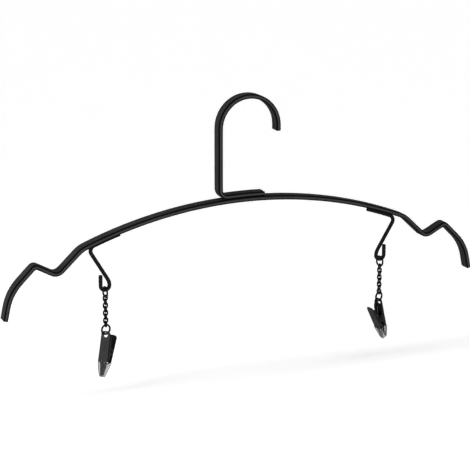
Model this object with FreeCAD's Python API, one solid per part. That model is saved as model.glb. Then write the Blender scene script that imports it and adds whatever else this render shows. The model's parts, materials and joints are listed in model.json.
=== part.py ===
import FreeCAD, Part
import math
import os

V = FreeCAD.Vector
os.makedirs("parts", exist_ok=True)

# Flat bar that the shoulder bar and the hook are bent from
bar_depth = 11.4
bar_thick = 4.0
bar_edge_r = 1.0
bar_end_r = 0.7

# Shoulder bar, centre line from the middle out to one end, slopes in degrees
arch_r = 397.0
arch_deg = 21.9
shoulder_r = 20.6
shoulder_deg = 43.6
shoulder_len = 20.3
notch_r = 7.4
notch_deg = 28.6
notch_len = 13.7
peak_r = 3.6
peak_deg = 45.0
peak_len = 15.9
end_r = 41.4
end_deg = 77.9
end_len = 11.4

# Hook, its half round about the origin
hook_seat_r = 24.8
hook_rise = 63.1
hook_tip_len = 5.0
hook_foot_bend_r = 6.5
hook_foot_x = 14.2

# Round wire bracket under the arch, its eye set in, back and down from the arch's end
wire_d = 3.4
weld_sink = 0.1
bracket_set_in = 17.9
bracket_back = 1.2
bracket_hang = 36.4
bracket_lean = 30.8
bracket_top_r = 4.8
bracket_foot_len = 24.5
bracket_bend_r = 11.0
eye_r = 3.9
bracket_tip_len = 9.5
wire_end_r = 0.6

# Chain, inner sizes of the links
end_link_d = 1.6
end_link_width = 6.0
end_link_length = 7.3
link_d = 1.4
link_width = 2.1
link_length = 3.4
link_count = 8
ring_d = 1.7
ring_outer_d = 9.9
link_gap = 0.08

# Clip, from its pin axis: X towards the lever, Y along the pin, Z up the jaw
sheet = 0.8
plate_offset = 3.9
sheet_bend_r = 1.1
sheet_inner_r = 0.3
jaw_top_half_w = 4.7
jaw_low_half_w = 5.2
lever_top_half_w = 4.5
lever_low_half_w = 5.0
flange_depth = 3.0
lever_flange_depth = 1.8
jaw_top = 17.6
lever_top = 15.4
plate_top_r = 3.6
corner_r = 0.8
flange_low = -8.3
flange_low_ramp = 1.8
flange_top_gap = 1.6
flange_top_ramp = 6.6
lever_ramp_z = 4.6
tongue_root_half_w = 2.2
tongue_root_z = -10.4
tongue_root_r = 0.8
tongue_half_w = 0.9
tongue_tip_r = 0.7
tongue_side_r = 1.0
tongue_tip = -20.9
ring_hole_r = 2.05
ring_bridge = 1.4
ring_play = 0.35
pin_r = 1.0
pin_head_r = 1.7
pin_head_h = 0.7
pin_head_round = 0.42
pin_seat_gap = 0.02
pin_run_gap = 0.05
ear_reach = 2.3
ear_half_h = 1.9
ear_round_r = 2.0
ear_root_z = 3.6
ear_side_gap = 0.15
lever_deg = 15.0

# Clear caps on both jaw tips
cap_top = -8.7
cap_wall = 0.4
cap_side_wall = 0.3
cap_gap = 0.06
cap_end = 1.3
cap_shoulder = 5.0
cap_shoulder_half_w = 4.1
cap_side_r = 10.0
cap_tip_half_w = 1.9
cap_tip_r = 1.8
cap_rim_r = 0.3
cap_round = 0.45

# Torsion spring on the pin
spring_d = 0.5
spring_mean_r = 1.85
spring_pitch = 0.95
spring_turns = 3
spring_leg_z = 9.0
spring_leg_gap = 0.06
spring_point_step = 0.15

# Densities for hanging each clip under its ring, kg per cubic mm
steel_density = 7.85e-6
cap_density = 1.3e-6

# Reach of a cutting shape past what it cuts, and the least length that counts
cut_spare = 1.0
tiny = 1e-6

# Turn of each hanging piece about Z, degrees
end_link_turn = {"left": 100.0, "right": 108.0}
first_link_turn = {"left": 4.0, "right": 34.0}
ring_turn = {"left": 15.0, "right": 24.0}
clip_turn = {"left": 40.0, "right": 198.0}

apex_z = -hook_rise
AXIS_X = V(1, 0, 0)
AXIS_Y = V(0, 1, 0)
AXIS_Z = V(0, 0, 1)
ORIGIN = V(0, 0, 0)


# Path in the XZ plane, headings in degrees below +X
def heading(deg):
    a = math.radians(deg)
    return V(math.cos(a), 0, -math.sin(a))


def inward(deg):
    a = math.radians(deg)
    return V(-math.sin(a), 0, -math.cos(a))


def trace(point, deg, moves):
    edges = []
    for move in moves:
        if len(move) == 1:
            end = point + heading(deg) * move[0]
            edges.append(Part.makeLine(point, end))
        else:
            radius, turn = move
            side = math.copysign(radius, turn)
            centre = point + inward(deg) * side
            middle = centre - inward(deg + turn / 2) * side
            end = centre - inward(deg + turn) * side
            edges.append(Part.Arc(point, middle, end).toShape())
            deg = deg + turn
        point = end
    return edges, point


# Closed wire through corner points, each corner with its own radius
def outline(corners):
    cuts = []
    count = len(corners)
    for i in range(count):
        p, r = corners[i]
        before = (corners[i - 1][0] - p).normalize()
        after = (corners[(i + 1) % count][0] - p).normalize()
        half = before.getAngle(after) / 2
        reach = r / math.tan(half)
        middle = p + (before + after).normalize() * (r / math.sin(half) - r) if r else p
        cuts.append((p + before * reach, middle, p + after * reach))
    edges = []
    for i in range(count):
        start, middle, end = cuts[i]
        following = cuts[(i + 1) % count][0]
        if corners[i][1]:
            edges.append(Part.Arc(start, middle, end).toShape())
        if (following - end).Length > tiny:
            edges.append(Part.makeLine(end, following))
    return Part.Wire(edges)


def bar_section(point, deg):
    y = AXIS_Y * (bar_depth / 2)
    n = inward(deg) * (bar_thick / 2)
    corners = [point + y + n, point - y + n, point - y - n, point + y - n]
    return outline([(c, bar_edge_r) for c in corners])


def swept(edges, section):
    return Part.Wire(edges).makePipeShell([section], True, False)


# Ends of a bar or wire, with their rims rounded
def round_ends(solid, points, radius):
    rims = []
    for point in points:
        face = min(solid.Faces, key=lambda f: (f.CenterOfMass - point).Length)
        rims.extend(face.Edges)
    return solid.makeFillet(radius, rims)


def turned(shape, centre, axis, deg):
    copy = shape.copy()
    copy.rotate(centre, axis, deg)
    return copy


def moved(shape, offset):
    copy = shape.copy()
    copy.translate(offset)
    return copy


def save(node, shape):
    print(node, "solids", len(shape.Solids), "valid", shape.isValid(), "volume", round(shape.Volume, 3))
    shape.Solids[0].exportStep("parts/" + node + ".step")


# Shoulder bar
half_moves = [
    (shoulder_r, shoulder_deg - arch_deg),
    (shoulder_len,),
    (notch_r, -shoulder_deg - notch_deg),
    (notch_len,),
    (peak_r, notch_deg + peak_deg),
    (peak_len,),
    (end_r, end_deg - peak_deg),
    (end_len,),
]
apex = V(0, 0, apex_z)
right_end = trace(apex, 0, [(arch_r, arch_deg)] + half_moves)[1]
left_end = V(-right_end.x, 0, right_end.z)
bar_moves = half_moves[::-1] + [(arch_r, 2 * arch_deg)] + half_moves
bar_edges = trace(left_end, -end_deg, bar_moves)[0]
shoulder_bar = swept(bar_edges, bar_section(left_end, -end_deg))
shoulder_bar = round_ends(shoulder_bar, [left_end, right_end], bar_end_r)
save("shoulder_bar", shoulder_bar)

# Hook, its foot concentric with the arch
hook_r = hook_seat_r + bar_thick / 2
arch_centre = V(0, 0, apex_z - arch_r)
foot_r = arch_r + bar_thick
foot_start_deg = math.degrees(math.asin(hook_foot_x / foot_r))
foot_bend_deg = math.degrees(math.asin((hook_foot_bend_r - hook_r) / (foot_r + hook_foot_bend_r)))
foot_start = arch_centre - inward(foot_start_deg) * foot_r
foot_bend_z = arch_centre.z + (foot_r + hook_foot_bend_r) * math.cos(math.radians(foot_bend_deg))
hook_moves = [
    (foot_r, foot_bend_deg - foot_start_deg),
    (hook_foot_bend_r, 90 - foot_bend_deg),
    (-foot_bend_z,),
    (hook_r, 180),
    (hook_tip_len,),
]
hook_edges, hook_end = trace(foot_start, 180 + foot_start_deg, hook_moves)
hook = swept(hook_edges, bar_section(foot_start, 180 + foot_start_deg))
hook = round_ends(hook, [foot_start, hook_end], bar_end_r)
save("hook", hook)

# Wire bracket, the straight run tangent to the top bend and to the bend above the eye
wire_run_r = arch_r - bar_thick / 2 - wire_d / 2 + weld_sink
arch_end = trace(apex, 0, [(arch_r, arch_deg)])[1]
eye_centre = arch_end - V(bracket_set_in, 0, bracket_hang)
lean = math.radians(bracket_lean)
run_up = V(math.sin(lean), 0, math.cos(lean))
run_in = V(-math.cos(lean), 0, math.sin(lean))
eye_tangent = eye_centre + AXIS_X * (bracket_bend_r - eye_r) + run_in * bracket_bend_r
offset = eye_tangent + run_in * bracket_top_r - arch_centre
along = offset.dot(run_up)
run_len = math.sqrt(along ** 2 - offset.dot(offset) + (wire_run_r - bracket_top_r) ** 2) - along
bend_centre = offset + run_up * run_len
foot_out_deg = math.degrees(math.atan2(bend_centre.x, bend_centre.z))
foot_in_deg = foot_out_deg - math.degrees(bracket_foot_len / wire_run_r)
bracket_start = arch_centre - inward(foot_in_deg) * wire_run_r
bracket_moves = [
    (wire_run_r, foot_out_deg - foot_in_deg),
    (bracket_top_r, 90 + bracket_lean - foot_out_deg),
    (run_len,),
    (bracket_bend_r, -bracket_lean),
    (eye_r, -180),
    (bracket_tip_len,),
]
bracket_edges, bracket_end = trace(bracket_start, foot_in_deg, bracket_moves)
bracket_circle = Part.Wire([Part.makeCircle(wire_d / 2, bracket_start, heading(foot_in_deg))])
bracket = round_ends(swept(bracket_edges, bracket_circle), [bracket_start, bracket_end], wire_end_r)
bracket = moved(bracket, AXIS_Y * bracket_back).cut(shoulder_bar)
save("right_bracket", bracket)
save("left_bracket", bracket.mirror(ORIGIN, AXIS_X))


# Oval link in the XZ plane, the top of its opening at the origin
def oval(wire, width, length):
    mean_r = (width + wire) / 2
    high = V(0, 0, -width / 2)
    low = V(0, 0, width / 2 - length)
    disc = Part.Face(Part.Wire([Part.makeCircle(wire / 2, high + AXIS_X * mean_r, AXIS_Z)]))
    solids = [disc.revolve(high, AXIS_Y, -180)]
    if length > width:
        side = disc.extrude(low - high)
        solids.append(side)
        solids.append(moved(side, AXIS_X * (-2 * mean_r)))
    solids.append(moved(disc, low - high).revolve(low, AXIS_Y, 180))
    return solids[0].multiFuse(solids[1:]).removeSplitter()


# Clip plates: a channel kept inside a front outline and a side profile
def slab(corners, depth):
    return Part.Face(outline(corners)).extrude(depth)


def half_at(z, half_low, half_top, top):
    return half_low + (half_top - half_low) * (z - flange_low) / (top - flange_low)


def channel(side, half_low, half_top, depth, top):
    outer = side * (plate_offset + sheet)
    inner = side * plate_offset
    free = outer - side * depth
    ends = []
    for z in (tongue_tip, top):
        half_w = half_at(z, half_low, half_top, top)
        half_in = half_w - sheet
        corners = [
            (V(outer, -half_w, z), sheet_bend_r),
            (V(outer, half_w, z), sheet_bend_r),
            (V(free, half_w, z), 0),
            (V(free, half_in, z), 0),
            (V(inner, half_in, z), sheet_inner_r),
            (V(inner, -half_in, z), sheet_inner_r),
            (V(free, -half_in, z), 0),
            (V(free, -half_w, z), 0),
        ]
        ends.append(outline(corners))
    return Part.makeLoft(ends, True, True)


def front(half_low, half_top, top):
    x = -plate_offset - sheet - cut_spare
    corners = [
        (V(x, -tongue_half_w, tongue_tip), tongue_tip_r),
        (V(x, -tongue_root_half_w, tongue_root_z), tongue_root_r),
        (V(x, -half_low, flange_low), tongue_side_r),
        (V(x, -half_top, top), plate_top_r),
        (V(x, half_top, top), plate_top_r),
        (V(x, half_low, flange_low), tongue_side_r),
        (V(x, tongue_root_half_w, tongue_root_z), tongue_root_r),
        (V(x, tongue_half_w, tongue_tip), tongue_tip_r),
    ]
    return slab(corners, AXIS_X * (-2 * x))


def profile(points, y, width):
    return slab([(V(x, y, z), r) for x, z, r in points], AXIS_Y * width)


def rod(radius, half_length):
    return Part.makeCylinder(radius, 2 * half_length, AXIS_Y * -half_length, AXIS_Y)


# Clip jaw, with ears for the pin and a hole for the ring
jaw_outer = -plate_offset - sheet
jaw_free = jaw_outer + flange_depth
cut_half_w = jaw_low_half_w + cut_spare
jaw_profile = [
    (jaw_outer - cut_spare, tongue_tip - cut_spare, 0),
    (-plate_offset, tongue_tip - cut_spare, 0),
    (-plate_offset, flange_low, sheet_inner_r),
    (jaw_free, flange_low + flange_low_ramp, corner_r),
    (jaw_free, -ear_root_z, corner_r),
    (ear_reach, -ear_half_h, ear_round_r),
    (ear_reach, ear_half_h, ear_round_r),
    (jaw_free, ear_root_z, corner_r),
    (jaw_free, jaw_top - flange_top_gap - flange_top_ramp, 3 * corner_r),
    (-plate_offset, jaw_top - flange_top_gap, corner_r),
    (-plate_offset, jaw_top + cut_spare, 0),
    (jaw_outer - cut_spare, jaw_top + cut_spare, 0),
]
ring_hole_z = jaw_top - ring_bridge - ring_hole_r
ring_hole_start = V(jaw_outer - cut_spare, 0, ring_hole_z)
ring_hole = Part.makeCylinder(ring_hole_r, sheet + 2 * cut_spare, ring_hole_start, AXIS_X)
clip_jaw = channel(-1, jaw_low_half_w, jaw_top_half_w, ear_reach - jaw_outer + cut_spare, jaw_top)
clip_jaw = clip_jaw.common(front(jaw_low_half_w, jaw_top_half_w, jaw_top))
clip_jaw = clip_jaw.common(profile(jaw_profile, -cut_half_w, 2 * cut_half_w))
clip_jaw = clip_jaw.cut(ring_hole).cut(rod(pin_r + pin_seat_gap, cut_half_w))

# Clip lever, drawn parallel to the jaw
lever_outer = plate_offset + sheet
lever_free = lever_outer - lever_flange_depth
lever_profile = [
    (lever_outer + cut_spare, tongue_tip - cut_spare, 0),
    (lever_outer + cut_spare, lever_top + cut_spare, 0),
    (plate_offset, lever_top + cut_spare, 0),
    (plate_offset, lever_top - flange_top_gap, corner_r),
    (lever_free, lever_top - 2 * flange_top_gap, 2 * corner_r),
    (lever_free, lever_ramp_z + flange_top_gap, corner_r),
    (plate_offset, lever_ramp_z, sheet_inner_r),
    (plate_offset, tongue_tip - cut_spare, 0),
]
ear_space = half_at(ear_root_z, jaw_low_half_w, jaw_top_half_w, jaw_top) - sheet
lever_ear_out = ear_space - ear_side_gap
lever_ear = [
    (plate_offset + sheet / 2, -ear_root_z, 0),
    (plate_offset + sheet / 2, ear_root_z, 0),
    (-ear_reach, ear_half_h, ear_round_r),
    (-ear_reach, -ear_half_h, ear_round_r),
]
lever_plate = channel(1, lever_low_half_w, lever_top_half_w, lever_flange_depth + cut_spare, lever_top)
lever_plate = lever_plate.common(front(lever_low_half_w, lever_top_half_w, lever_top))
lever_plate = lever_plate.common(profile(lever_profile, -cut_half_w, 2 * cut_half_w))
ears = [profile(lever_ear, y, sheet) for y in (-lever_ear_out, lever_ear_out - sheet)]
clip_lever = lever_plate.multiFuse(ears).removeSplitter()
clip_lever = clip_lever.cut(rod(pin_r + pin_run_gap, cut_half_w))

# Clip pin with a rounded head at each end, seated where the jaw is widest under it
pin_half = half_at(-pin_head_r, jaw_low_half_w, jaw_top_half_w, jaw_top)
clip_pin = rod(pin_r, pin_half)
for way in (1, -1):
    head = Part.makeCylinder(pin_head_r, pin_head_h, AXIS_Y * (way * pin_half), AXIS_Y * way)
    rim = [e for e in head.Edges if abs(e.CenterOfMass.y) > pin_half + pin_head_h - tiny]
    clip_pin = clip_pin.fuse(head.makeFillet(pin_head_round, rim))
clip_pin = clip_pin.removeSplitter()

# Clear cap over a jaw tip
cap_low = tongue_tip - cap_end
root_share = (flange_low - cap_top) / (flange_low - tongue_root_z)
cap_rim_half_w = jaw_low_half_w + (tongue_root_half_w - jaw_low_half_w) * root_share + cap_side_wall
cap_x = jaw_outer - cap_wall
lever_rad = math.radians(lever_deg)
cap_pad = plate_offset - (cap_gap - cap_low * math.sin(lever_rad)) / (1 + math.cos(lever_rad))
cap_corners = [
    (V(cap_x, -cap_tip_half_w, cap_low), cap_tip_r),
    (V(cap_x, -cap_shoulder_half_w, cap_top - cap_shoulder), cap_side_r),
    (V(cap_x, -cap_rim_half_w, cap_top), cap_rim_r),
    (V(cap_x, cap_rim_half_w, cap_top), cap_rim_r),
    (V(cap_x, cap_shoulder_half_w, cap_top - cap_shoulder), cap_side_r),
    (V(cap_x, cap_tip_half_w, cap_low), cap_tip_r),
]
cap_depth = cap_wall + sheet + cap_pad
cap_block = slab(cap_corners, AXIS_X * cap_depth)
cap_edges = [e for e in cap_block.Edges if e.CenterOfMass.z < cap_top - tiny]
cap_rims = [e for e in cap_edges if e.BoundBox.XLength < tiny]
cap_block = cap_block.makeFillet(cap_round, cap_rims)
jaw_tip = cap_block.cut(clip_jaw)
lever_tip = cap_block.mirror(ORIGIN, AXIS_X).cut(clip_lever)


# Two tangent arcs joining two points with given directions
def biarc(p0, t0, p1, t1):
    chord = p1 - p0
    both = t0 + t1
    a = both.dot(both) - 4
    b = -2 * chord.dot(both)
    reach = (-b - math.sqrt(b * b - 4 * a * chord.dot(chord))) / (2 * a)
    q0 = p0 + t0 * reach
    q1 = p1 - t1 * reach
    joint = (q0 + q1) * 0.5
    arcs = []
    for start, control, end in ((p0, q0, joint), (joint, q1, p1)):
        centre = (start + end) * 0.5
        rise = control - centre
        half = (end - start).Length / 2
        sagitta = half * math.tan(math.atan2(rise.Length, half) / 2)
        arcs.append(Part.Arc(start, centre + rise.normalize() * sagitta, end).toShape())
    return arcs


# Torsion spring, a leg along each plate and a helix round the pin
def coil_point(angle, first, last):
    run = spring_pitch * (angle - (first + last) / 2) / (2 * math.pi)
    return V(spring_mean_r * math.cos(angle), run, spring_mean_r * math.sin(angle))


def coil_tangent(angle):
    slope = spring_pitch / (2 * math.pi)
    return V(-spring_mean_r * math.sin(angle), slope, spring_mean_r * math.cos(angle)).normalize()


leg_x = plate_offset - spring_d / 2 - spring_leg_gap
leg_lean = math.atan2(leg_x, spring_leg_z) - math.asin(spring_mean_r / math.hypot(leg_x, spring_leg_z))
leg_len = math.sqrt(leg_x ** 2 + spring_leg_z ** 2 - spring_mean_r ** 2)
coil_first = math.pi + leg_lean
coil_last = 2 * math.pi * (spring_turns + 1) - leg_lean - lever_rad
coil_steps = math.ceil((coil_last - coil_first) / (math.pi / 2))
angles = [coil_first + (coil_last - coil_first) * i / coil_steps for i in range(coil_steps + 1)]
coil_points = [coil_point(a, coil_first, coil_last) for a in angles]
coil_tangents = [coil_tangent(a) for a in angles]
leg_top = coil_points[0] - coil_tangents[0] * leg_len
spring_edges = [Part.makeLine(leg_top, coil_points[0])]
for i in range(coil_steps):
    spring_edges.extend(biarc(coil_points[i], coil_tangents[i], coil_points[i + 1], coil_tangents[i + 1]))
lever_leg_top = coil_points[-1] + coil_tangents[-1] * leg_len
spring_edges.append(Part.makeLine(coil_points[-1], lever_leg_top))
spring_circle = Part.Wire([Part.makeCircle(spring_d / 2, leg_top, coil_tangents[0])])
clip_spring = swept(spring_edges, spring_circle)

# Least gap of the spring to itself, measured on points of its centre line
spring_points = []
for edge in spring_edges:
    spring_points.extend(edge.discretize(max(3, math.ceil(edge.Length / spring_point_step)))[:-1])
travelled = [0.0]
for i in range(1, len(spring_points)):
    travelled.append(travelled[-1] + (spring_points[i] - spring_points[i - 1]).Length)
least = min(
    (spring_points[i] - spring_points[j]).Length
    for i in range(len(spring_points))
    for j in range(i)
    if travelled[i] - travelled[j] > math.pi * spring_mean_r
)
print("spring least gap to itself", round(least - spring_d, 3))

# Tilt that brings the clip's centre of mass under the ring
hang_point = V(jaw_outer + sheet / 2, 0, jaw_top - ring_bridge - ring_play - ring_d / 2)
resting_lever = turned(clip_lever, ORIGIN, AXIS_Y, lever_deg)
resting_lever_tip = turned(lever_tip, ORIGIN, AXIS_Y, lever_deg)
weights = [(s, steel_density) for s in (clip_jaw, resting_lever, clip_pin, clip_spring)]
weights.extend((s, cap_density) for s in (jaw_tip, resting_lever_tip))
clip_mass = sum(s.Volume * density for s, density in weights)
moment = V(0, 0, 0)
for s, density in weights:
    moment = moment + s.Solids[0].CenterOfMass * (s.Volume * density)
balance = moment * (1 / clip_mass) - hang_point
tilt = math.degrees(math.atan2(balance.x, -balance.z))
print("clip mass", round(clip_mass, 5), "tilt", round(tilt, 3))


def hinge(name, point, axis):
    print("hinge", name, *[round(c, 5) for c in (*point, *axis)])


def level(deg):
    a = math.radians(deg)
    return V(math.cos(a), math.sin(a), 0)


# Chain, ring and clip of each side, hung one from the other
end_link = oval(end_link_d, end_link_width, end_link_length)
chain_link = oval(link_d, link_width, link_length)
ring = oval(ring_d, ring_outer_d - 2 * ring_d, ring_outer_d - 2 * ring_d)
for side, way in (("left", -1), ("right", 1)):
    hung = [("end_link", end_link, end_link_length, end_link_d, end_link_turn[side])]
    for i in range(link_count):
        turn = first_link_turn[side] + 90 * (i % 2)
        hung.append(("chain_link_%d" % (i + 1), chain_link, link_length, link_d, turn))
    hung.append(("ring", ring, ring_outer_d - 2 * ring_d, ring_d, ring_turn[side]))
    pivot = V(way * eye_centre.x, bracket_back, eye_centre.z - eye_r)
    pivot_axis = AXIS_X
    top = pivot + AXIS_Z * (wire_d / 2 + link_gap)
    for name, shape, length, wire, turn in hung:
        save(side + "_" + name, moved(turned(shape, ORIGIN, AXIS_Z, turn), top))
        hinge(side + "_" + name, pivot, pivot_axis)
        pivot = top - AXIS_Z * (length + wire / 2)
        pivot_axis = level(turn)
        top = top - AXIS_Z * (length - link_gap)
    hinge(side + "_clip", pivot, pivot_axis)
    clip_pieces = [
        ("clip_jaw", clip_jaw),
        ("clip_pin", clip_pin),
        ("clip_spring", clip_spring),
        ("clip_jaw_tip", jaw_tip),
        ("clip_lever", resting_lever),
        ("clip_lever_tip", resting_lever_tip),
    ]
    for name, shape in clip_pieces:
        tilted = turned(moved(shape, hang_point * -1), ORIGIN, AXIS_Y, tilt)
        save(side + "_" + name, moved(turned(tilted, ORIGIN, AXIS_Z, clip_turn[side]), pivot))
    place = FreeCAD.Rotation(AXIS_Z, clip_turn[side]).multiply(FreeCAD.Rotation(AXIS_Y, tilt))
    hinge(side + "_lever", pivot + place.multVec(hang_point * -1), place.multVec(AXIS_Y * -1))
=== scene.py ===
import json
import math

import bmesh
import bpy
from mathutils import Matrix, Quaternion, Vector

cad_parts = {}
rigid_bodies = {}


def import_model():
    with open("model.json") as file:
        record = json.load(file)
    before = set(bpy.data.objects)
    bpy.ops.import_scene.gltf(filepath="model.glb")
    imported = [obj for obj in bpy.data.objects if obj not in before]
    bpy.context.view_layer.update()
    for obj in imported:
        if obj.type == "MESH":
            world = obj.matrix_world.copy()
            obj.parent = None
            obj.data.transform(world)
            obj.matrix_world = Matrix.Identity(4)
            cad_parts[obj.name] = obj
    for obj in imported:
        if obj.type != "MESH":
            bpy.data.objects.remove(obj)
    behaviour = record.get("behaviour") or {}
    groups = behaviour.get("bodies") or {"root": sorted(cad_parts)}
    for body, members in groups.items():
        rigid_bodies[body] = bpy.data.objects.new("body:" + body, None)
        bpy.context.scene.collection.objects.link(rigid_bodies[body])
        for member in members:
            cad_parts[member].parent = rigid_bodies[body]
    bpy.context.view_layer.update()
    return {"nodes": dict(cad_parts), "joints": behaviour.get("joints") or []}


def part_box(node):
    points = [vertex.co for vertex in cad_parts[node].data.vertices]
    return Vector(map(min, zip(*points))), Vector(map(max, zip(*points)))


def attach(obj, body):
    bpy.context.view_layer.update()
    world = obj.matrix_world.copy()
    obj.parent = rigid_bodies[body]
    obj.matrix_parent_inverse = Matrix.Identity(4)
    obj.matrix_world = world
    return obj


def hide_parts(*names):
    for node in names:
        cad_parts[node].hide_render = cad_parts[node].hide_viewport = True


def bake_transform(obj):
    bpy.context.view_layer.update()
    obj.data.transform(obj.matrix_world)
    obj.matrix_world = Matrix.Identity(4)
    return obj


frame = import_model()

# Flat bar of the shoulder bar and the hook, metres and degrees as in the solids
bar_depth = 0.0114
bar_thick = 0.004
bar_edge_r = 0.001
bar_end_r = 0.0007
edge_fade = 0.0004
arch_r = 0.397
arch_deg = 21.9
shoulder_r = 0.0206
shoulder_deg = 43.6
shoulder_len = 0.0203
notch_r = 0.0074
notch_deg = 28.6
notch_len = 0.0137
peak_r = 0.0036
peak_deg = 45.0
peak_len = 0.0159
end_r = 0.0414
end_deg = 77.9
end_len = 0.0114
hook_seat_r = 0.0248
hook_rise = 0.0631
hook_tip_len = 0.005
hook_foot_bend_r = 0.0065
hook_foot_x = 0.0142

# Round wire of the brackets
wire_d = 0.0034
weld_sink = 0.0001
bracket_set_in = 0.0179
bracket_back = 0.0012
bracket_hang = 0.0364
bracket_lean = 30.8
bracket_top_r = 0.0048
bracket_foot_len = 0.0245
bracket_bend_r = 0.011
eye_r = 0.0039
bracket_tip_len = 0.0095
wire_end_r = 0.0006
# Painted shade over the whole of a round wire, as on the bar's rounded edges
wire_edge_shade = 0.8

# Links and rings: wire, inner width, inner length and the butt joint's gap
link_sizes = {
    "end_link": (0.0016, 0.006, 0.0073),
    "chain_link": (0.0014, 0.0021, 0.0034),
    "ring": (0.0017, 0.0065, 0.0065),
}
link_seam = 0.00012
link_end_r = 0.00012

# Clip, from its pin axis: X towards the lever, Y along the pin, Z up the jaw
pin_half_w = 0.00507
pin_r = 0.001
pin_head_r = 0.0017
pin_head_h = 0.0007
pin_dimple_r = 0.0006
pin_dimple_h = 0.00012
dimple_floor_share = 0.6
dimple_rim_share = 1.3
head_wall_share = 0.3
head_foot_share = 0.1
head_foot_r_share = 0.97
hang_x = -0.0043
hang_z = 0.015
sheet_edge_r = 0.00012
flat_share = 0.9
# Painted shade on the clip plates' inner faces and flanges
inside_shade = 0.8
flange_shade = 0.6
cap_top = -0.0087
tongue_press = 0.00003
lever_deg = 15.0
spring_d = 0.0005
spring_mean_r = 0.00185
spring_pitch = 0.00095
spring_turns = 3
spring_leg_z = 0.009
spring_leg_x = 0.00359

# Fineness of the meshes
line_step = 0.004
turn_step = 5.0
corner_steps = 5
round_steps = 24
end_steps = 4
lathe_steps = 40
coil_step = 12.0
tube_sides = 14
flat_deg = 1.0
sharp_deg = 40.0
bevel_steps = 2
normal_weight = 90
tiny = 1e-6

# Change of the bar's width where it is bent: share of the strain, most, and spread along the bar
bend_share = 0.30
bend_most = 0.055
bend_spread = 0.003

# Name of the attribute that holds the painted shade on rounded edges and clip faces
shade_layer = "edge"

AXIS_X = Vector((1, 0, 0))
AXIS_Y = Vector((0, 1, 0))
AXIS_Z = Vector((0, 0, 1))


# Paths in the XZ plane, headings in degrees below +X
def heading(deg):
    a = math.radians(deg)
    return Vector((math.cos(a), 0, -math.sin(a)))


def inward(deg):
    a = math.radians(deg)
    return Vector((-math.sin(a), 0, -math.cos(a)))


def trace(point, deg, moves):
    stations = [(point, deg, 0.0)]
    for move in moves:
        if len(move) == 1:
            count = math.ceil(move[0] / line_step)
            for i in range(1, count + 1):
                stations.append((point + heading(deg) * (move[0] * i / count), deg, 0.0))
        else:
            radius, turn = move
            side = math.copysign(radius, turn)
            centre = point + inward(deg) * side
            arc = radius * math.radians(abs(turn))
            count = math.ceil(max(abs(turn) / turn_step, arc / line_step, 1))
            for i in range(1, count + 1):
                here = deg + turn * i / count
                stations.append((centre - inward(here) * side, here, 1 / side))
            deg = deg + turn
        point = stations[-1][0]
    return stations


# Curvature spread a little along the path, because a bend starts and stops gently
def spread_curvature(stations):
    travelled = [0.0]
    for a, b in zip(stations, stations[1:]):
        travelled.append(travelled[-1] + (b[0] - a[0]).length)
    smoothed = []
    for i, (point, deg, _) in enumerate(stations):
        total = 0.0
        weight = 0.0
        for j in range(1, len(stations)):
            middle = (travelled[j] + travelled[j - 1]) / 2 - travelled[i]
            share = math.exp(-((middle / bend_spread) ** 2)) * (travelled[j] - travelled[j - 1])
            total += share * stations[j][2]
            weight += share
        smoothed.append((point, deg, total / weight))
    return smoothed


# Sections: (across, inward, how much painted shade the surface gets), drawn in by an inset at the ends
def flat_section(inset):
    half_across = bar_depth / 2 - inset
    half_in = bar_thick / 2 - inset
    r = bar_edge_r - inset
    points = []
    for quarter in range(4):
        sign_across = (1, -1, -1, 1)[quarter]
        sign_in = (1, 1, -1, -1)[quarter]
        # Rounded corners get full painted shade, and the points on the flats beside them get none
        arc = []
        for i in range(corner_steps + 1):
            a = math.radians(90 * (quarter + i / corner_steps))
            across = sign_across * (half_across - r) + r * math.cos(a)
            down = sign_in * (half_in - r) + r * math.sin(a)
            arc.append((across, down, 1.0))
        a = math.radians(90 * quarter)
        across, down = arc[0][:2]
        points.append((across + edge_fade * math.sin(a), down - edge_fade * math.cos(a), 0.0))
        points.extend(arc)
        across, down = arc[-1][:2]
        points.append((across - edge_fade * math.cos(a), down - edge_fade * math.sin(a), 0.0))
    return points


def round_section(radius):
    def section(inset):
        points = []
        for i in range(round_steps):
            a = 2 * math.pi * i / round_steps
            points.append(((radius - inset) * math.cos(a), (radius - inset) * math.sin(a), wire_edge_shade))
        return points
    return section


# Bar grown wider on the inside of a bend and narrower on the outside
def bulge(across, down, curvature):
    strain = max(-bend_most, min(bend_most, bend_share * curvature * down))
    return across * (1 + strain)


# Faces of a closed skin over rows of points, with a cap at each end
def skin(rows, size):
    faces = [list(range(size))]
    for row in range(rows - 1):
        low = row * size
        for i in range(size):
            j = (i + 1) % size
            faces.append([low + i, low + size + i, low + size + j, low + j])
    faces.append([rows * size - 1 - i for i in range(size)])
    return faces


# Mesh of a section carried along stations, both ends rounded over and closed
def sweep(name, stations, section, end_r):
    rows = []
    first, last = stations[0], stations[-1]
    for i in range(end_steps + 1):
        a = math.radians(90 * i / end_steps)
        rows.append((first, end_r * (1 - math.cos(a)), end_r * (1 - math.sin(a))))
    rows.extend((station, 0.0, 0.0) for station in stations[1:-1])
    for i in range(end_steps, -1, -1):
        a = math.radians(90 * i / end_steps)
        rows.append((last, -end_r * (1 - math.cos(a)), end_r * (1 - math.sin(a))))
    verts = []
    edge_shades = []
    for (point, deg, curvature), along, inset in rows:
        middle = point + heading(deg) * along
        for across, down, edge_shade in section(inset):
            wide = bulge(across, down, curvature)
            verts.append(middle + AXIS_Y * wide + inward(deg) * down)
            edge_shades.append(edge_shade)
    return new_piece(name, verts, skin(len(rows), len(section(0.0))), edge_shades)


def add_piece(name, mesh):
    piece = bpy.data.objects.new(name, mesh)
    bpy.context.scene.collection.objects.link(piece)
    return piece


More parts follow.
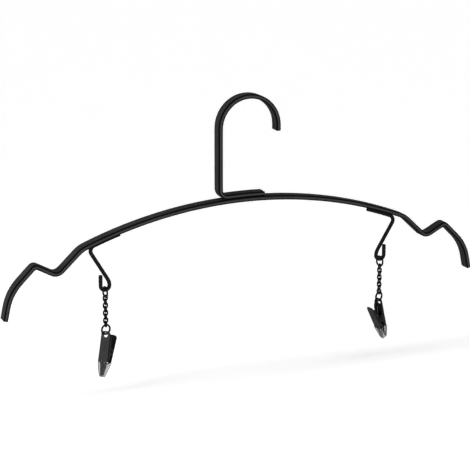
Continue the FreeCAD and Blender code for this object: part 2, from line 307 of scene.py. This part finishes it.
# Piece with its faces turned outward and its painted shade kept as an attribute
def new_piece(name, verts, faces, edge_shades=None):
    mesh = bpy.data.meshes.new(name)
    mesh.from_pydata([tuple(v) for v in verts], [], faces)
    bm = bmesh.new()
    bm.from_mesh(mesh)
    bmesh.ops.recalc_face_normals(bm, faces=bm.faces)
    bm.to_mesh(mesh)
    bm.free()
    if edge_shades:
        mesh.attributes.new(shade_layer, "FLOAT", "POINT").data.foreach_set("value", edge_shades)
    return add_piece(name, mesh)


# Mesh moved for good, and turned right side out where it is mirrored
def moved(piece, matrix):
    piece.data.transform(matrix)
    if matrix.determinant() < 0:
        piece.data.flip_normals()
    return piece


# Finish of a piece: smooth faces with flat faces kept flat, its material, the node it stands for
# hidden, and its body
def dress(piece, material, body, node):
    for polygon in piece.data.polygons:
        polygon.use_smooth = True
    weighted = piece.modifiers.new("even_normals", "WEIGHTED_NORMAL")
    weighted.mode = "FACE_AREA"
    weighted.weight = normal_weight
    piece.data.materials.clear()
    piece.data.materials.append(material)
    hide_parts(node)
    if body:
        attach(piece, body)
    return piece


# Range that most of a noise texture's values lie in
noise_low = 0.3
noise_high = 0.7

# Heights of the surfaces' unevenness
coat_peel = 0.00003
coat_grain = 0.000006
plating_waves = 0.00001
enamel_waves = 0.00002
enamel_grain = 0.000004
wire_waves = 0.00001
plastic_waves = 0.000001


# Node helpers
def new_material(name):
    material = bpy.data.materials.new(name)
    material.use_nodes = True
    return material, material.node_tree, material.node_tree.nodes["Principled BSDF"]


def noise(tree, scale, detail):
    node = tree.nodes.new("ShaderNodeTexNoise")
    node.inputs["Scale"].default_value = scale
    node.inputs["Detail"].default_value = detail
    coordinates = tree.nodes.new("ShaderNodeTexCoord")
    tree.links.new(coordinates.outputs["Object"], node.inputs["Vector"])
    return node.outputs["Fac"]


def spread(tree, value, low, high):
    node = tree.nodes.new("ShaderNodeMapRange")
    node.inputs["From Min"].default_value = noise_low
    node.inputs["From Max"].default_value = noise_high
    node.inputs["To Min"].default_value = low
    node.inputs["To Max"].default_value = high
    tree.links.new(value, node.inputs["Value"])
    return node.outputs["Result"]


def mixed(tree, factor, low, high):
    node = tree.nodes.new("ShaderNodeMix")
    node.data_type = "RGBA"
    tree.links.new(factor, node.inputs["Factor"])
    for key, colour in (("A", low), ("B", high)):
        socket = [s for s in node.inputs if s.name == key and s.type == "RGBA"][0]
        if isinstance(colour, tuple):
            socket.default_value = (*colour, 1)
        else:
            tree.links.new(colour, socket)
    return [s for s in node.outputs if s.type == "RGBA"][0]


# Colour and roughness that wander between two values
def patchy(tree, scale, detail, low, high):
    patches = spread(tree, noise(tree, scale, detail), low=0.0, high=1.0)
    return mixed(tree, patches, low, high)


def roughen(tree, shader, scale, detail, low, high):
    rough = spread(tree, noise(tree, scale, detail), low, high)
    tree.links.new(rough, shader.inputs["Roughness"])


def bumps(tree, shader, layers):
    normal = None
    for height, distance in layers:
        node = tree.nodes.new("ShaderNodeBump")
        node.inputs["Strength"].default_value = 1.0
        node.inputs["Distance"].default_value = distance
        tree.links.new(height, node.inputs["Height"])
        if normal:
            tree.links.new(normal, node.inputs["Normal"])
        normal = node.outputs["Normal"]
    tree.links.new(normal, shader.inputs["Normal"])


# Painted shade carried by a mesh attribute
def shade_of(tree):
    node = tree.nodes.new("ShaderNodeAttribute")
    node.attribute_name = shade_layer
    return node.outputs["Fac"]


# Black powder coat: fine orange peel, with painted shade darkening it along the rounded edges
def powder_coat():
    material, tree, shader = new_material("powder_coat")
    body = patchy(tree, scale=70, detail=3, low=(0.033, 0.033, 0.033), high=(0.041, 0.041, 0.041))
    # Painted shade: the colour goes to near black where the attribute says
    colour = mixed(tree, shade_of(tree), low=body, high=(0.003, 0.003, 0.003))
    tree.links.new(colour, shader.inputs["Base Color"])
    roughen(tree, shader, scale=240, detail=4, low=0.64, high=0.78)
    shader.inputs["Specular IOR Level"].default_value = 0.004
    peel = noise(tree, scale=900, detail=2)
    grain = noise(tree, scale=3800, detail=2)
    bumps(tree, shader, [(peel, coat_peel), (grain, coat_grain)])
    return material


# Black plating on the chains and the pins, smooth and a little uneven
def black_plating():
    material, tree, shader = new_material("black_plating")
    colour = patchy(tree, scale=500, detail=3, low=(0.001, 0.001, 0.001), high=(0.003, 0.003, 0.003))
    tree.links.new(colour, shader.inputs["Base Color"])
    roughen(tree, shader, scale=1500, detail=3, low=0.34, high=0.46)
    shader.inputs["Specular IOR Level"].default_value = 0.05
    bumps(tree, shader, [(noise(tree, scale=2200, detail=3), plating_waves)])
    return material


# Black enamel on the stamped clip plates, darkened by painted shade on the flanges, inner faces, edges
# and the tongue in the cap
def clip_enamel():
    material, tree, shader = new_material("clip_enamel")
    body = patchy(tree, scale=260, detail=3, low=(0.028, 0.028, 0.028), high=(0.037, 0.037, 0.036))
    # Painted shade: the colour goes to near black where the attribute says
    colour = mixed(tree, shade_of(tree), low=body, high=(0.004, 0.004, 0.004))
    tree.links.new(colour, shader.inputs["Base Color"])
    roughen(tree, shader, scale=700, detail=4, low=0.40, high=0.52)
    shader.inputs["Specular IOR Level"].default_value = 0.02
    waves = noise(tree, scale=1300, detail=2)
    grain = noise(tree, scale=5200, detail=2)
    bumps(tree, shader, [(waves, enamel_waves), (grain, enamel_grain)])
    return material


# Dark spring wire, a little uneven
def spring_wire():
    material, tree, shader = new_material("spring_wire")
    colour = patchy(tree, scale=900, detail=4, low=(0.10, 0.10, 0.105), high=(0.19, 0.185, 0.18))
    tree.links.new(colour, shader.inputs["Base Color"])
    roughen(tree, shader, scale=2600, detail=3, low=0.30, high=0.46)
    shader.inputs["Metallic"].default_value = 1.0
    bumps(tree, shader, [(noise(tree, scale=3000, detail=3), wire_waves)])
    return material


# Clear soft plastic of the caps, a little smoky and uneven
def clear_plastic():
    material, tree, shader = new_material("clear_plastic")
    colour = patchy(tree, scale=220, detail=3, low=(0.42, 0.42, 0.41), high=(0.50, 0.50, 0.49))
    tree.links.new(colour, shader.inputs["Base Color"])
    roughen(tree, shader, scale=600, detail=3, low=0.02, high=0.05)
    shader.inputs["Transmission Weight"].default_value = 0.95
    shader.inputs["IOR"].default_value = 1.30
    bumps(tree, shader, [(noise(tree, scale=300, detail=2), plastic_waves)])
    return material


coat = powder_coat()
plating = black_plating()
enamel = clip_enamel()
spring_metal = spring_wire()
plastic = clear_plastic()

# Shoulder bar
half_moves = [
    (shoulder_r, shoulder_deg - arch_deg),
    (shoulder_len,),
    (notch_r, -shoulder_deg - notch_deg),
    (notch_len,),
    (peak_r, notch_deg + peak_deg),
    (peak_len,),
    (end_r, end_deg - peak_deg),
    (end_len,),
]
apex = Vector((0, 0, -hook_rise))
right_end = trace(apex, 0, [(arch_r, arch_deg)] + half_moves)[-1][0]
left_end = Vector((-right_end.x, 0, right_end.z))
bar_path = trace(left_end, -end_deg, half_moves[::-1] + [(arch_r, 2 * arch_deg)] + half_moves)
bar = sweep("shoulder_bar_piece", spread_curvature(bar_path), flat_section, bar_end_r)
dress(bar, coat, "frame", "shoulder_bar")

# Hook, its foot concentric with the arch
hook_r = hook_seat_r + bar_thick / 2
arch_centre = apex - AXIS_Z * arch_r
foot_r = arch_r + bar_thick
foot_deg = math.degrees(math.asin(hook_foot_x / foot_r))
foot_bend_deg = math.degrees(math.asin((hook_foot_bend_r - hook_r) / (foot_r + hook_foot_bend_r)))
foot_start = arch_centre - inward(foot_deg) * foot_r
foot_bend_z = arch_centre.z + (foot_r + hook_foot_bend_r) * math.cos(math.radians(foot_bend_deg))
hook_moves = [
    (foot_r, foot_bend_deg - foot_deg),
    (hook_foot_bend_r, 90 - foot_bend_deg),
    (-foot_bend_z,),
    (hook_r, 180),
    (hook_tip_len,),
]
hook_path = trace(foot_start, 180 + foot_deg, hook_moves)
hook = sweep("hook_piece", spread_curvature(hook_path), flat_section, bar_end_r)
dress(hook, coat, "frame", "hook")

# Wire brackets, the straight run tangent to the top bend and to the bend above the eye
wire_run_r = arch_r - bar_thick / 2 - wire_d / 2 + weld_sink
lean = math.radians(bracket_lean)
run_up = Vector((math.sin(lean), 0, math.cos(lean)))
run_in = Vector((-math.cos(lean), 0, math.sin(lean)))
arch_end = trace(apex, 0, [(arch_r, arch_deg)])[-1][0]
eye_centre = arch_end - Vector((bracket_set_in, 0, bracket_hang))
low_bend = eye_centre + Vector((bracket_bend_r - eye_r, 0, 0))
offset = low_bend + run_in * (bracket_bend_r + bracket_top_r) - arch_centre
along = offset.dot(run_up)
run_len = math.sqrt(along ** 2 - offset.dot(offset) + (wire_run_r - bracket_top_r) ** 2) - along
bend_centre = offset + run_up * run_len
foot_out = math.degrees(math.atan2(bend_centre.x, bend_centre.z))
foot_in = foot_out - math.degrees(bracket_foot_len / wire_run_r)
bracket_moves = [
    (wire_run_r, foot_out - foot_in),
    (bracket_top_r, 90 + bracket_lean - foot_out),
    (run_len,),
    (bracket_bend_r, -bracket_lean),
    (eye_r, -180),
    (bracket_tip_len,),
]
bracket_path = trace(arch_centre - inward(foot_in) * wire_run_r, foot_in, bracket_moves)
for side, way in (("left", -1), ("right", 1)):
    bracket = sweep(side + "_bracket_piece", bracket_path, round_section(wire_d / 2), wire_end_r)
    moved(bracket, Matrix.Translation(AXIS_Y * bracket_back) @ Matrix.Scale(way, 4, AXIS_X))
    dress(bracket, coat, "frame", side + "_bracket")


# Joints of the frame, by the body that carries them and by the body that they move
hung_from = {joint["parent"]: joint for joint in frame["joints"]}
joint_of = {joint["child"]: joint for joint in frame["joints"]}


# Bent wire link round the middle of its solid, its butt joint in one side
def link(node, kind):
    wire, width, length = link_sizes[kind]
    mean_r = (width + wire) / 2
    straight = (length - width) / 2
    if straight > tiny:
        beside_seam = straight - link_seam / 2
        moves = [(beside_seam,), (mean_r, 180), (2 * straight,), (mean_r, 180), (beside_seam,)]
        start = Vector((mean_r, 0, -link_seam / 2))
        start_deg = 90
    else:
        seam_deg = math.degrees(link_seam / 2 / mean_r)
        moves = [(mean_r, 180 - seam_deg), (mean_r, 180 - seam_deg)]
        start = heading(seam_deg) * mean_r
        start_deg = 90 + seam_deg
    piece = sweep(node + "_piece", trace(start, start_deg, moves), round_section(wire / 2), link_end_r)
    low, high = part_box(node)
    right = Vector(hung_from[node]["axis"]).normalized()
    turn = Matrix((right, AXIS_Z.cross(right), AXIS_Z)).transposed().to_4x4()
    moved(piece, Matrix.Translation((low + high) / 2) @ turn)
    return dress(piece, plating, node, node)


for side in ("left", "right"):
    link(side + "_end_link", "end_link")
    link(side + "_ring", "ring")
    for node in sorted(n for n in frame["nodes"] if n.startswith(side + "_chain_link")):
        link(node, "chain_link")


# Place of a clip, from its pin's axis and the point that it hangs from
def clip_place(side):
    pin = joint_of[side + "_lever"]
    centre = Vector(pin["pos_m"])
    across = -Vector(pin["axis"]).normalized()
    up = Vector(joint_of[side + "_clip"]["pos_m"]) - centre
    up = (up - across * up.dot(across)).normalized()
    out = across.cross(up)
    slope = math.atan2(hang_x, hang_z)
    x = up * math.sin(slope) + out * math.cos(slope)
    z = up * math.cos(slope) - out * math.sin(slope)
    return Matrix.Translation(centre) @ Matrix((x, across, z)).transposed().to_4x4()


# Painted shade on a plate: none on the outer faces, some on the flanges, more on the inner faces, and
# most on the tongue in the cap and on all other faces, such as the bevelled edges
def enamel_shade(face, way):
    out = face.normal.x * way
    if face.calc_center_median().z < cap_top:
        return 1.0
    if out > flat_share:
        return 0.0
    if out < -flat_share:
        return inside_shade
    return flange_shade if abs(face.normal.y) > flat_share else 1.0


# Copy of a stamped plate with its cut edges rounded, its tongue pressed into the cap and its painted
# shade set face by face
def stamped(node, place, way):
    mesh = frame["nodes"][node].data.copy()
    mesh.name = node + "_piece"
    bm = bmesh.new()
    bm.from_mesh(mesh)
    face_shade = bm.faces.layers.float.new(shade_layer)
    bmesh.ops.remove_doubles(bm, verts=bm.verts, dist=tiny)
    bmesh.ops.dissolve_limit(bm, angle_limit=math.radians(flat_deg), verts=bm.verts, edges=bm.edges)
    bm.transform(place.inverted())
    whole = bm.verts[:] + bm.edges[:] + bm.faces[:]
    bmesh.ops.bisect_plane(bm, geom=whole, dist=tiny, plane_co=(0, 0, cap_top), plane_no=(0, 0, 1))
    bm.normal_update()
    for v in bm.verts:
        if v.co.z < cap_top - tiny:
            v.co += v.normal * tongue_press
    sharp = [e for e in bm.edges if e.is_manifold and e.calc_face_angle() > math.radians(sharp_deg)]
    bmesh.ops.bevel(bm, geom=sharp, offset=sheet_edge_r, offset_type="OFFSET", segments=bevel_steps,
                    profile=0.5, affect="EDGES", clamp_overlap=True)
    bm.normal_update()
    for face in bm.faces:
        # Painted shade set face by face
        face[face_shade] = enamel_shade(face, way)
    bm.transform(place)
    bm.to_mesh(mesh)
    bm.free()
    return add_piece(node + "_piece", mesh)


# Riveted pin, turned about Y, with a dimple in each head
def pin_piece(name):
    top = pin_half_w + pin_head_h
    rim_r = pin_dimple_r * dimple_rim_share
    wall = pin_head_h * head_wall_share
    half = [(0.0, top - pin_dimple_h)]
    half.append((pin_dimple_r * dimple_floor_share, top - pin_dimple_h))
    half.append((pin_dimple_r, top))
    for i in range(end_steps + 1):
        a = math.radians(90 * i / end_steps)
        r = rim_r + (pin_head_r - rim_r) * math.sin(a)
        half.append((r, pin_half_w + wall + (pin_head_h - wall) * math.cos(a)))
    half.append((pin_head_r, pin_half_w + pin_head_h * head_foot_share))
    half.append((pin_head_r * head_foot_r_share, pin_half_w))
    half.append((pin_r, pin_half_w))
    profile = half + [(r, -y) for r, y in reversed(half)]
    verts = []
    for r, y in profile:
        for i in range(lathe_steps):
            a = 2 * math.pi * i / lathe_steps
            verts.append((max(r, tiny) * math.cos(a), y, max(r, tiny) * math.sin(a)))
    return new_piece(name, verts, skin(len(profile), lathe_steps))


# Torsion spring: a leg along each plate and a helix round the pin
def spring_line():
    lean_angle = math.atan2(spring_leg_x, spring_leg_z)
    lean_angle -= math.asin(spring_mean_r / math.hypot(spring_leg_x, spring_leg_z))
    leg_len = math.sqrt(spring_leg_x ** 2 + spring_leg_z ** 2 - spring_mean_r ** 2)
    first = math.pi + lean_angle
    last = 2 * math.pi * (spring_turns + 1) - lean_angle - math.radians(lever_deg)
    count = math.ceil((last - first) / math.radians(coil_step))
    slope = spring_pitch / (2 * math.pi)
    line = []
    tangents = []
    for i in range(count + 1):
        a = first + (last - first) * i / count
        run = slope * (a - (first + last) / 2)
        line.append(Vector((spring_mean_r * math.cos(a), run, spring_mean_r * math.sin(a))))
        tangent = Vector((-spring_mean_r * math.sin(a), slope, spring_mean_r * math.cos(a)))
        tangents.append(tangent.normalized())
    leg_steps = math.ceil(leg_len / (2 * spring_d))
    before = [line[0] - tangents[0] * (leg_len * i / leg_steps) for i in range(leg_steps, 0, -1)]
    after = [line[-1] + tangents[-1] * (leg_len * i / leg_steps) for i in range(1, leg_steps + 1)]
    return before + line + after


# Round tube along a line of points, its ends closed
def tube(name, line, radius):
    side = AXIS_Y
    verts = []
    for i, point in enumerate(line):
        tangent = (line[min(i + 1, len(line) - 1)] - line[max(i - 1, 0)]).normalized()
        side = (side - tangent * side.dot(tangent)).normalized()
        other = tangent.cross(side)
        for k in range(tube_sides):
            a = 2 * math.pi * k / tube_sides
            verts.append(point + (side * math.cos(a) + other * math.sin(a)) * radius)
    return new_piece(name, verts, skin(len(line), tube_sides))


for side in ("left", "right"):
    place = clip_place(side)
    lever_place = place @ Matrix.Rotation(math.radians(lever_deg), 4, AXIS_Y)
    jaw = stamped(side + "_clip_jaw", place, -1)
    dress(jaw, enamel, side + "_clip", side + "_clip_jaw")
    lever = stamped(side + "_clip_lever", lever_place, 1)
    dress(lever, enamel, side + "_lever", side + "_clip_lever")
    pin = moved(pin_piece(side + "_clip_pin_piece"), place)
    dress(pin, plating, side + "_clip", side + "_clip_pin")
    spring = moved(tube(side + "_clip_spring_piece", spring_line(), spring_d / 2), place)
    dress(spring, spring_metal, None, side + "_clip_spring")
    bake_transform(spring)
    for node in (side + "_clip_jaw_tip", side + "_clip_lever_tip"):
        cap = frame["nodes"][node]
        cap.data.materials.clear()
        cap.data.materials.append(plastic)


# White floor close under the clips, keeping the soft shadow
floor_z = -0.2224
floor_r = 14.0
floor_sides = 96
floor_white = 0.90
floor_glow = 0.41


# One for the rays that see plain white: from the camera, off gloss and through the caps
def white_rays(tree):
    path = tree.nodes.new("ShaderNodeLightPath")
    total = None
    for name in ("Is Camera Ray", "Is Glossy Ray", "Is Transmission Ray"):
        if total is None:
            total = path.outputs[name]
            continue
        add = tree.nodes.new("ShaderNodeMath")
        add.operation = "ADD"
        add.use_clamp = True
        tree.links.new(total, add.inputs[0])
        tree.links.new(path.outputs[name], add.inputs[1])
        total = add.outputs[0]
    return total


def floor_material():
    material, tree, shader = new_material("white_floor")
    tree.nodes.remove(shader)
    matt = tree.nodes.new("ShaderNodeBsdfDiffuse")
    matt.inputs["Color"].default_value = (floor_white, floor_white, floor_white, 1)
    glow = tree.nodes.new("ShaderNodeEmission")
    glow.inputs["Strength"].default_value = floor_glow
    both = tree.nodes.new("ShaderNodeAddShader")
    tree.links.new(matt.outputs[0], both.inputs[0])
    tree.links.new(glow.outputs[0], both.inputs[1])
    mix = tree.nodes.new("ShaderNodeMixShader")
    tree.links.new(white_rays(tree), mix.inputs[0])
    tree.links.new(matt.outputs[0], mix.inputs[1])
    tree.links.new(both.outputs[0], mix.inputs[2])
    tree.links.new(mix.outputs[0], tree.nodes["Material Output"].inputs["Surface"])
    return material


rim = [2 * math.pi * i / floor_sides for i in range(floor_sides)]
rim_points = [(floor_r * math.cos(a), floor_r * math.sin(a), floor_z) for a in rim]
floor = new_piece("floor", rim_points, [list(range(floor_sides))])
floor.data.materials.append(floor_material())

# World: plain soft light from all round, white behind the object
ambient = 0.16
world = bpy.data.worlds.new("studio")
world.use_nodes = True
bpy.context.scene.world = world
sky = world.node_tree
dome = sky.nodes["Background"]
dome.inputs["Color"].default_value = (1, 1, 1, 1)
dome.inputs["Strength"].default_value = ambient
white = sky.nodes.new("ShaderNodeBackground")
white.inputs["Color"].default_value = (1, 1, 1, 1)
white.inputs["Strength"].default_value = 1.0
chosen = sky.nodes.new("ShaderNodeMixShader")
sky.links.new(white_rays(sky), chosen.inputs[0])
sky.links.new(dome.outputs[0], chosen.inputs[1])
sky.links.new(white.outputs[0], chosen.inputs[2])
sky.links.new(chosen.outputs[0], sky.nodes["World Output"].inputs["Surface"])

# Camera at the photograph's angle
view_target = Vector((-0.0116, 0, -0.0952))
view_yaw = math.radians(22.17)
view_pitch = math.radians(14.98)
view_roll = math.radians(0.1)
view_distance = 1.520
view_angle = math.radians(15.29)


# Camera or lamp set in place and turned to its target
def aimed(obj, place, target, roll=0.0):
    look = (target - place).to_track_quat("-Z", "Y")
    obj.location = place
    obj.rotation_euler = (look @ Quaternion((0, 0, 1), roll)).to_euler()
    bpy.context.scene.collection.objects.link(obj)


camera_data = bpy.data.cameras.new("camera")
camera_data.sensor_fit = "HORIZONTAL"
camera_data.angle = view_angle
camera = bpy.data.objects.new("camera", camera_data)
forward = Vector((
    math.sin(view_yaw) * math.cos(view_pitch),
    math.cos(view_yaw) * math.cos(view_pitch),
    -math.sin(view_pitch),
))
aimed(camera, view_target - forward * view_distance, view_target, view_roll)
bpy.context.scene.camera = camera

# Lamps: a row of soft ones overhead, one in front and a soft box on the left
top_tilts = (-44, -22, 0, 22, 44)
top_strength = 0.26
top_angle = 18
front_direction = (0.1, -2.0, 0.15)
front_strength = 3.9
front_angle = 34
side_place = (-0.68, -0.1, 0.0)
side_power = 1.5
side_size = 0.25


# Even light from one direction, soft by its angle
def far_light(name, direction, strength, angle):
    lamp = bpy.data.lights.new(name, "SUN")
    lamp.energy = strength
    lamp.angle = math.radians(angle)
    aimed(bpy.data.objects.new(name, lamp), view_target + Vector(direction), view_target)


# Soft box standing beside the object
def near_light(name, place, power, size):
    lamp = bpy.data.lights.new(name, "AREA")
    lamp.shape = "DISK"
    lamp.energy = power
    lamp.size = size
    aimed(bpy.data.objects.new(name, lamp), Vector(place), view_target)


for tilt in top_tilts:
    tilt_angle = math.radians(tilt)
    far_light("top_light", (math.sin(tilt_angle), 0, math.cos(tilt_angle)), top_strength, top_angle)
far_light("front_light", front_direction, front_strength, front_angle)
near_light("side_light", side_place, side_power, side_size)
bpy.context.scene.view_settings.view_transform = "Standard"
